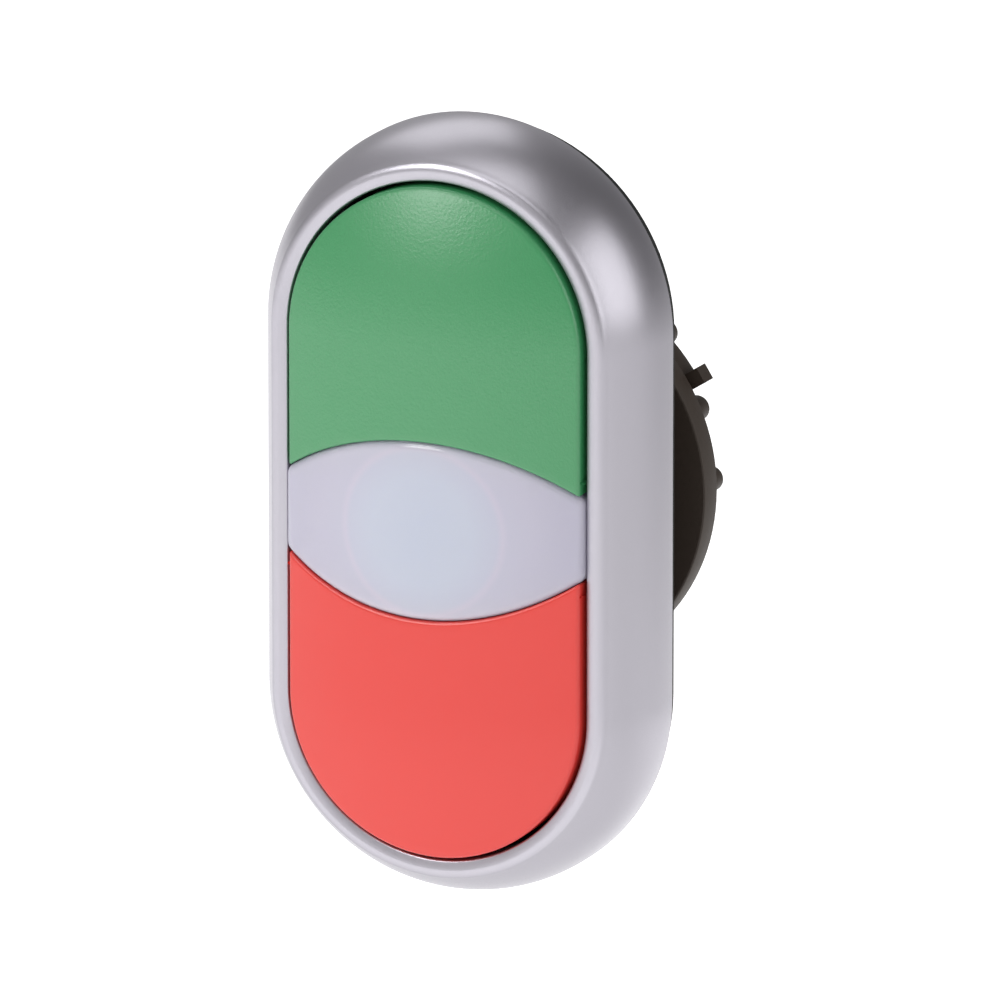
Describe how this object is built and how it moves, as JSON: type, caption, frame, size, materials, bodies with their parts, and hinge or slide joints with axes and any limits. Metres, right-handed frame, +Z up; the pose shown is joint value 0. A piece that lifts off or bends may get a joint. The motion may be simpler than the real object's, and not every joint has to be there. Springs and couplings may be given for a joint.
{
  "type": "double pushbutton head",
  "caption": "Illuminated double pushbutton head for a control panel: green button over red, white lens between, silver bezel, threaded barrel with ring nut.",
  "frame": {"origin": "on the barrel's axis, in the plane of the panel's front face, where the gasket's rear face rests", "axes": "+X to the viewer's right, +Y out of the back along the barrel, +Z up with the green button on top; the face looks towards -Y"},
  "size_m": [0.0296, 0.0254, 0.0556],
  "materials": {
    "black_moulding": "fine-grained moulded black plastic",
    "silver_lacquer": "satin silver lacquer over a moulded ring",
    "seal_rubber": "soft matt black rubber",
    "white_diffuser": "milky translucent white",
    "clear_plastic": "clear moulded plastic",
    "spring_steel": "bright drawn steel",
    "green_plastic": "fine-grained green moulding",
    "red_plastic": "smooth matt red moulding",
    "grey_black_moulding": "grey-black glass-filled plastic"
  },
  "bodies": {
    "head": {"housing": "black_moulding", "bezel": "silver_lacquer", "bezel_seal": "seal_rubber", "panel_gasket": "seal_rubber", "lens": "white_diffuser", "lens_seal": "seal_rubber", "light_tube": "clear_plastic", "tube_seal": "seal_rubber", "tube_clip": "spring_steel", "green_spring": "spring_steel", "red_spring": "spring_steel"},
    "green_button": {"green_cap": "green_plastic", "green_plunger": "black_moulding", "green_foot": "black_moulding"},
    "red_button": {"red_cap": "red_plastic", "red_plunger": "black_moulding", "red_foot": "black_moulding"},
    "thrust": {"thrust_ring": "grey_black_moulding"},
    "nut": {"ring_nut": "grey_black_moulding"}
  },
  "joints": [
    {"name": "green_press", "type": "slide", "parent": "head", "child": "green_button", "axis": [0, 1, 0], "range_m": [0, 0.0032], "stiffness_N_per_m": 600, "springref_m": -0.0035, "deforming": ["green_spring"]},
    {"name": "red_press", "type": "slide", "parent": "head", "child": "red_button", "axis": [0, 1, 0], "range_m": [0, 0.0032], "stiffness_N_per_m": 600, "springref_m": -0.0035, "deforming": ["red_spring"]},
    {"name": "thrust_slide", "type": "slide", "parent": "head", "child": "thrust", "axis": [0, 1, 0], "range_m": [-0.00341, 0.00331]},
    {"name": "nut_turn", "type": "hinge", "parent": "thrust", "child": "nut", "pos_m": [0, 0.009, 0], "axis": [0, 1, 0], "range_deg": [-816, 792]}
  ],
  "couplings": [
    {"joint": "thrust_slide", "follows": "nut_turn", "m_per_rad": 0.00023873}
  ]
}
